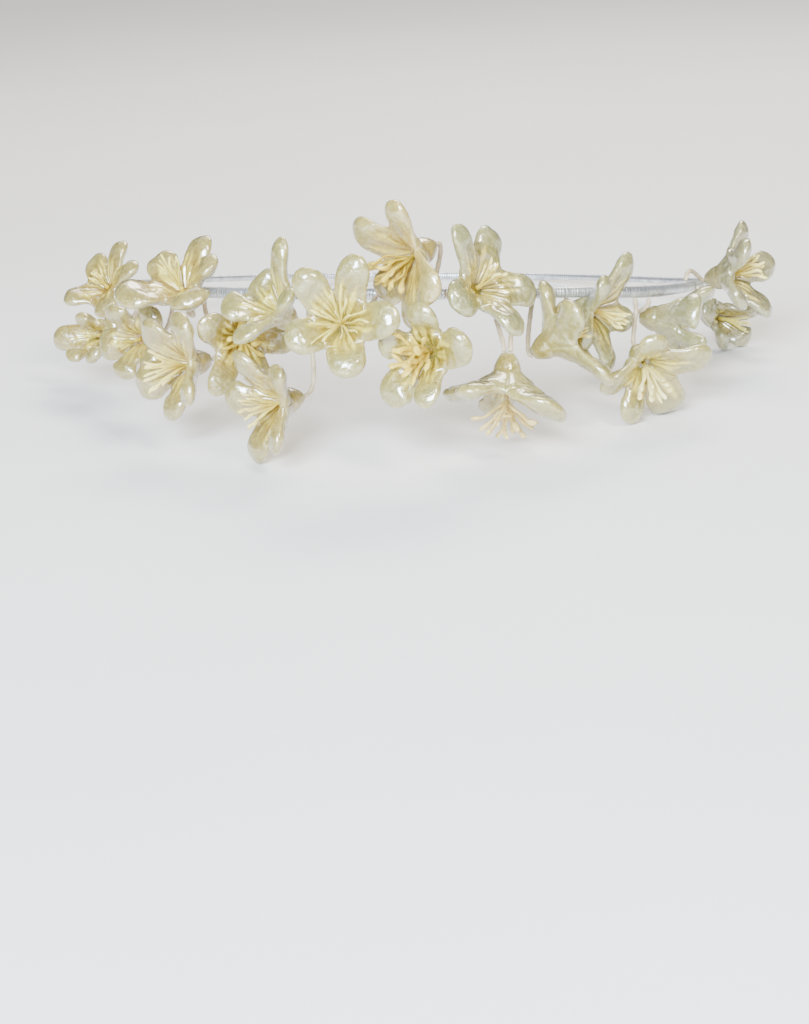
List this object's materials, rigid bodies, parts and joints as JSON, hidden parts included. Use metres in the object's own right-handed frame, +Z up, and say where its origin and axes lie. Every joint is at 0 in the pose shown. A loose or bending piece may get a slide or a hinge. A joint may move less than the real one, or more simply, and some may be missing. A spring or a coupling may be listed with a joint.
{
  "type": "wax flower crown",
  "caption": "Oval head circlet wound in silver-white thread, its front half covered with glossy ivory wax blossoms on short wrapped wire stems, each a five-lobed bell with a fan of stamens.",
  "frame": {"origin": "on the surface that the crown rests on, under the middle of its box", "axes": "+Z up, the brow with its blossoms towards -Y, the nape towards +Y, the wearer's left side towards +X; as worn the ring is level, as it rests the brow is raised"},
  "size_m": [0.1968, 0.2182, 0.0641],
  "materials": {
    "silver_thread": "silver-white thread wound tightly, satin",
    "ivory_wax": "translucent ivory dipped wax, glossy, pearly at the tips",
    "stamen_wax": "pale yellow waxed thread, satin",
    "stem_wrap": "pinkish white thread-wrapped wire, waxed"
  },
  "bodies": {
    "root": {"band": "silver_thread", "corolla_01": "ivory_wax", "corolla_02": "ivory_wax", "corolla_03": "ivory_wax", "corolla_04": "ivory_wax", "corolla_05": "ivory_wax", "corolla_06": "ivory_wax", "corolla_07": "ivory_wax", "corolla_08": "ivory_wax", "corolla_09": "ivory_wax", "corolla_10": "ivory_wax", "corolla_11": "ivory_wax", "corolla_12": "ivory_wax", "corolla_13": "ivory_wax", "corolla_14": "ivory_wax", "corolla_15": "ivory_wax", "corolla_16": "ivory_wax", "corolla_17": "ivory_wax", "corolla_18": "ivory_wax", "corolla_19": "ivory_wax", "stamens_01": "stamen_wax", "stamens_02": "stamen_wax", "stamens_03": "stamen_wax", "stamens_04": "stamen_wax", "stamens_05": "stamen_wax", "stamens_06": "stamen_wax", "stamens_07": "stamen_wax", "stamens_08": "stamen_wax", "stamens_09": "stamen_wax", "stamens_10": "stamen_wax", "stamens_11": "stamen_wax", "stamens_12": "stamen_wax", "stamens_13": "stamen_wax", "stamens_14": "stamen_wax", "stamens_15": "stamen_wax", "stamens_16": "stamen_wax", "stamens_17": "stamen_wax", "stamens_18": "stamen_wax", "stamens_19": "stamen_wax", "stem_01": "stem_wrap", "stem_02": "stem_wrap", "stem_03": "stem_wrap", "stem_04": "stem_wrap", "stem_05": "stem_wrap", "stem_06": "stem_wrap", "stem_07": "stem_wrap", "stem_08": "stem_wrap", "stem_09": "stem_wrap", "stem_10": "stem_wrap", "stem_11": "stem_wrap", "stem_12": "stem_wrap", "stem_13": "stem_wrap", "stem_14": "stem_wrap", "stem_15": "stem_wrap", "stem_16": "stem_wrap", "stem_17": "stem_wrap", "stem_18": "stem_wrap", "stem_19": "stem_wrap", "stem_20": "stem_wrap"}
  },
  "joints": []
}
